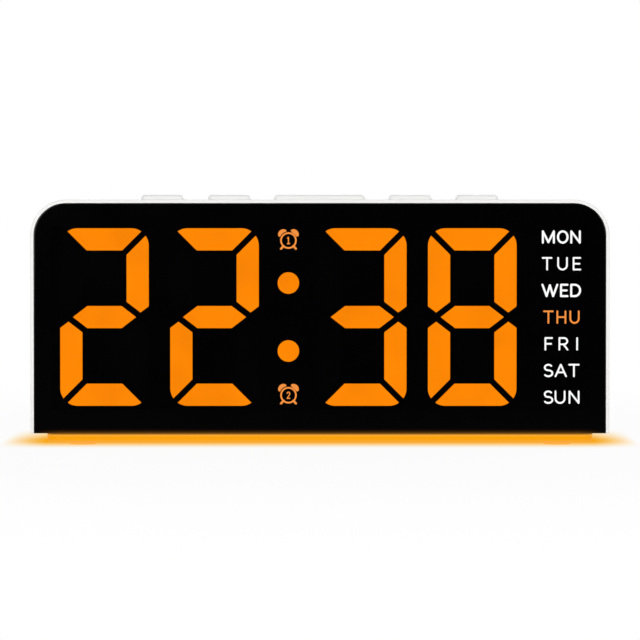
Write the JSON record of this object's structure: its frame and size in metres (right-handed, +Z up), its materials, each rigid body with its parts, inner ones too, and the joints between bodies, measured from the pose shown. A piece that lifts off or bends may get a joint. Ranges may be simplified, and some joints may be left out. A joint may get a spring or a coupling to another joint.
{
  "type": "digital led desk clock",
  "caption": "White desk clock with an amber LED digit display behind a smoked lens, weekday column, top buttons, a lit base plate, a battery door and a power socket at the back.",
  "frame": {"origin": "on the table under the middle of the clock, between its feet", "axes": "+X to the right of someone who reads the display, +Y to the back, +Z up"},
  "size_m": [0.165, 0.042, 0.0714],
  "materials": {
    "white_abs": "moulded ABS, satin",
    "button_abs": "moulded ABS, satin",
    "smoked_acrylic": "smoked acrylic sheet, polished",
    "adhesive_foam": "black foam adhesive",
    "black_abs": "moulded ABS, printed black in front",
    "lit_resin": "cast diffusing resin, lit amber",
    "unlit_resin": "cast diffusing resin, unlit",
    "clear_resin": "cast diffusing resin",
    "printed_film": "black printed film",
    "circuit_board": "glass laminate with green solder mask",
    "led_resin": "lamp package with phosphor",
    "chip_epoxy": "moulded epoxy",
    "tinned_steel": "drawn and tinned steel",
    "black_nylon": "moulded nylon",
    "capacitor_can": "drawn aluminium can",
    "spring_brass": "stamped and nickel plated",
    "cell_steel": "stamped stainless steel",
    "screw_steel": "zinc plated steel",
    "milky_acrylic": "milky moulded acrylic, lit amber",
    "foot_silicone": "moulded clear silicone rubber, lit amber",
    "ribbon_pvc": "extruded flat cable",
    "connector_nylon": "moulded nylon",
    "wire_pvc": "extruded wire insulation"
  },
  "bodies": {
    "case": {"main_housing": "white_abs", "rear_cover": "white_abs", "front_lens": "smoked_acrylic", "lens_tape": "adhesive_foam", "digit_reflector": "black_abs", "lit_bars": "lit_resin", "colon_dots": "lit_resin", "unlit_bars": "unlit_resin", "alarm_windows": "clear_resin", "weekday_windows": "clear_resin", "legend_films": "printed_film", "display_board": "circuit_board", "button_board": "circuit_board", "main_board": "circuit_board", "night_light_board": "circuit_board", "display_leds": "led_resin", "night_light_leds": "led_resin", "display_driver": "chip_epoxy", "control_chip": "chip_epoxy", "tact_switches": "chip_epoxy", "timing_crystal": "tinned_steel", "usb_shell": "tinned_steel", "usb_tongue": "black_nylon", "power_capacitors": "capacitor_can", "battery_contact": "spring_brass", "battery_clip": "spring_brass", "coin_cell": "cell_steel", "case_screws": "screw_steel", "display_screws": "screw_steel", "board_screws": "screw_steel", "base_screws": "screw_steel", "sounder": "black_nylon", "base_diffuser": "milky_acrylic", "rubber_feet": "foot_silicone", "display_ribbon": "ribbon_pvc", "button_ribbon": "ribbon_pvc", "ribbon_connectors": "connector_nylon", "inner_wires": "wire_pvc"},
    "alarm_one_button": {"alarm_one_button": "button_abs", "alarm_one_button_plunger": "black_nylon"},
    "set_button": {"set_button": "button_abs", "set_button_plunger": "black_nylon"},
    "snooze_bar": {"snooze_bar": "button_abs", "snooze_bar_plunger": "black_nylon"},
    "alarm_two_button": {"alarm_two_button": "button_abs", "alarm_two_button_plunger": "black_nylon"},
    "light_button": {"light_button": "button_abs", "light_button_plunger": "black_nylon"},
    "battery_door": {"battery_door": "white_abs", "door_screw": "screw_steel"}
  },
  "joints": [
    {"name": "alarm_one_button_press", "type": "slide", "parent": "case", "child": "alarm_one_button", "axis": [0, 0, -1], "range_m": [0, 0.0006], "stiffness_N_per_m": 1500},
    {"name": "set_button_press", "type": "slide", "parent": "case", "child": "set_button", "axis": [0, 0, -1], "range_m": [0, 0.0006], "stiffness_N_per_m": 1500},
    {"name": "snooze_bar_press", "type": "slide", "parent": "case", "child": "snooze_bar", "axis": [0, 0, -1], "range_m": [0, 0.0006], "stiffness_N_per_m": 1500},
    {"name": "alarm_two_button_press", "type": "slide", "parent": "case", "child": "alarm_two_button", "axis": [0, 0, -1], "range_m": [0, 0.0006], "stiffness_N_per_m": 1500},
    {"name": "light_button_press", "type": "slide", "parent": "case", "child": "light_button", "axis": [0, 0, -1], "range_m": [0, 0.0006], "stiffness_N_per_m": 1500},
    {"name": "battery_door_tip", "type": "hinge", "parent": "case", "child": "battery_door", "pos_m": [-0.042, 0.021, 0.0195], "axis": [-1, 0, 0], "range_deg": [0, 60]}
  ]
}
